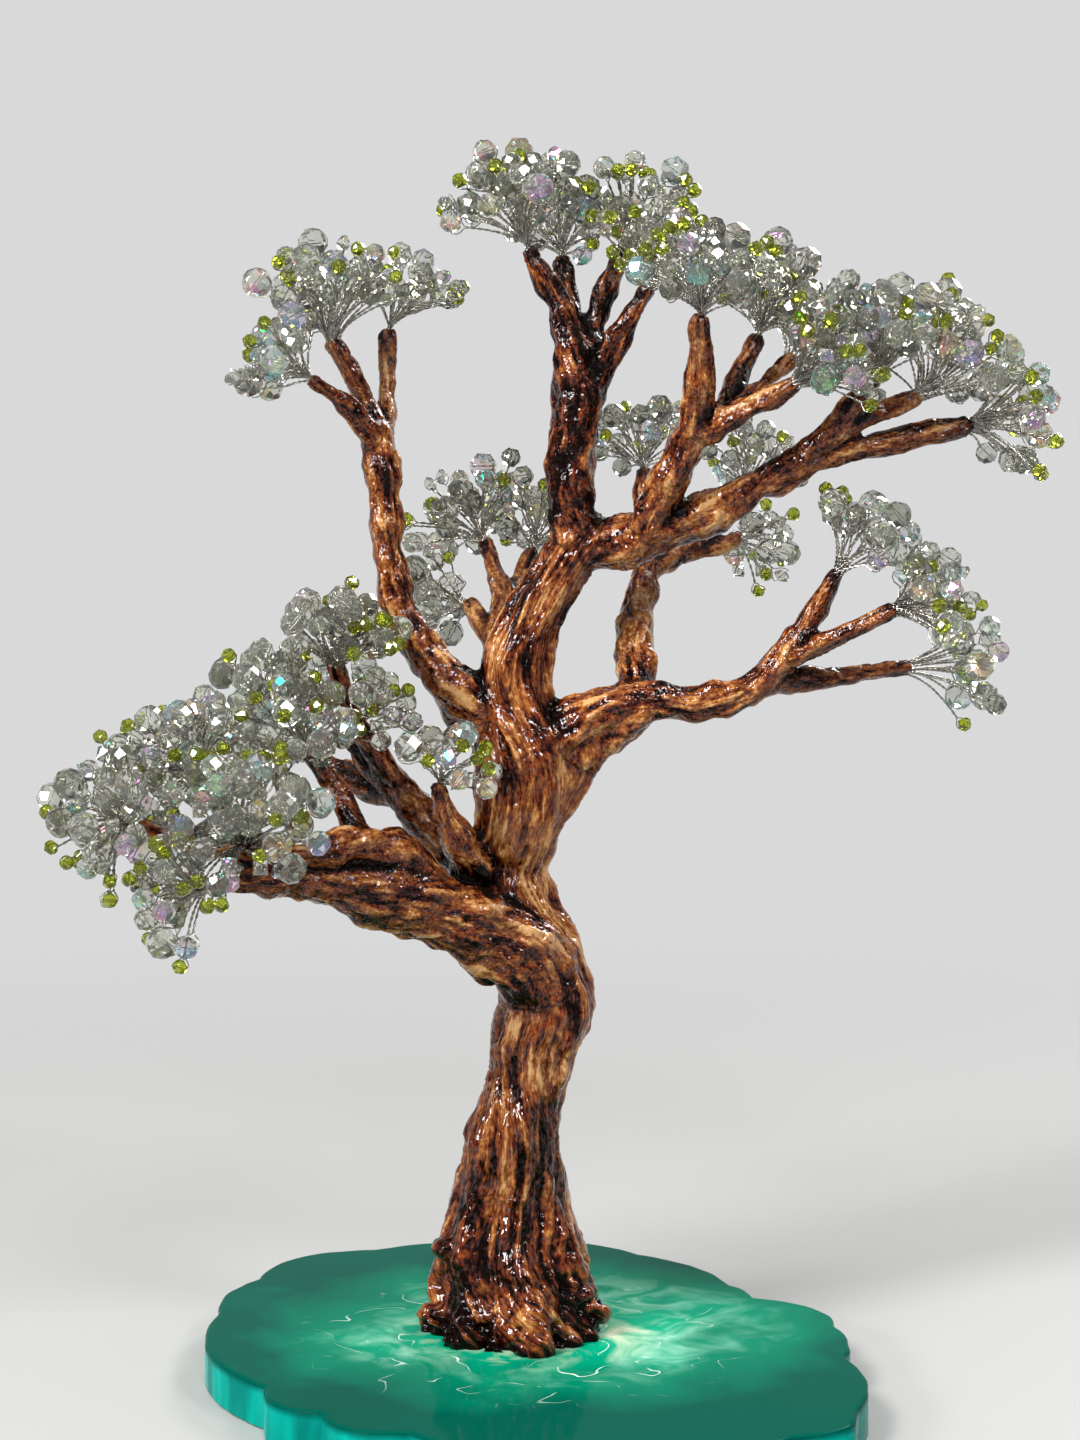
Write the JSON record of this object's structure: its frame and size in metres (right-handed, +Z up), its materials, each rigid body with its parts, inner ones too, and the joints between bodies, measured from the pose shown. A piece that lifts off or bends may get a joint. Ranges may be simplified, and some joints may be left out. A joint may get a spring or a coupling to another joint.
{
  "type": "beaded wire tree ornament",
  "caption": "Table ornament: a twisted wire tree with glossy bark-coated trunk and limbs, fanned sprays of clear and green faceted beads, and a scalloped teal resin base.",
  "frame": {"origin": "on the resin base's flat underside, below the tree's middle", "axes": "+Z up the tree, -Y towards the viewer of the picture, +X to that viewer's right"},
  "size_m": [0.2526, 0.1814, 0.315],
  "materials": {
    "resin": "polished clear-cast teal resin",
    "bark": "streaked brown modelling compound under gloss varnish",
    "wire": "bright drawn wire",
    "crystal_bead": "faceted clear glass with an iridescent coat",
    "green_bead": "faceted olive-green glass"
  },
  "bodies": {
    "root": {"resin_base": "resin", "trunk_armature": "wire", "trunk_bark": "bark", "left_low_limb_bark": "bark", "left_low_limb_armature": "wire", "left_front_limb_bark": "bark", "left_front_limb_armature": "wire", "left_mid_limb_bark": "bark", "left_mid_limb_armature": "wire", "left_high_limb_bark": "bark", "left_high_limb_armature": "wire", "crown_limb_bark": "bark", "crown_limb_armature": "wire", "right_high_limb_bark": "bark", "right_high_limb_armature": "wire", "right_front_limb_bark": "bark", "right_front_limb_armature": "wire", "right_low_limb_bark": "bark", "right_low_limb_armature": "wire", "rear_right_limb_bark": "bark", "rear_right_limb_armature": "wire", "rear_left_limb_bark": "bark", "rear_left_limb_armature": "wire", "left_low_spray_1": "crystal_bead", "left_low_spray_2": "crystal_bead", "left_low_spray_3": "crystal_bead", "left_front_spray_1": "crystal_bead", "left_front_spray_2": "crystal_bead", "left_mid_spray_1": "crystal_bead", "left_mid_spray_2": "crystal_bead", "left_mid_spray_3": "crystal_bead", "left_mid_spray_4": "crystal_bead", "left_high_spray_1": "crystal_bead", "left_high_spray_2": "crystal_bead", "left_high_spray_3": "crystal_bead", "crown_spray_1": "crystal_bead", "crown_spray_2": "crystal_bead", "crown_spray_3": "crystal_bead", "crown_spray_4": "crystal_bead", "right_high_spray_1": "crystal_bead", "right_high_spray_2": "crystal_bead", "right_high_spray_3": "crystal_bead", "right_front_spray_1": "crystal_bead", "right_front_spray_2": "crystal_bead", "right_front_spray_3": "crystal_bead", "right_front_spray_4": "crystal_bead", "right_low_spray_1": "crystal_bead", "right_low_spray_2": "crystal_bead", "right_low_spray_3": "crystal_bead", "rear_right_spray_1": "crystal_bead", "rear_right_spray_2": "crystal_bead", "rear_right_spray_3": "crystal_bead", "rear_left_spray_1": "crystal_bead", "rear_left_spray_2": "crystal_bead", "rear_left_spray_3": "crystal_bead"}
  },
  "joints": []
}
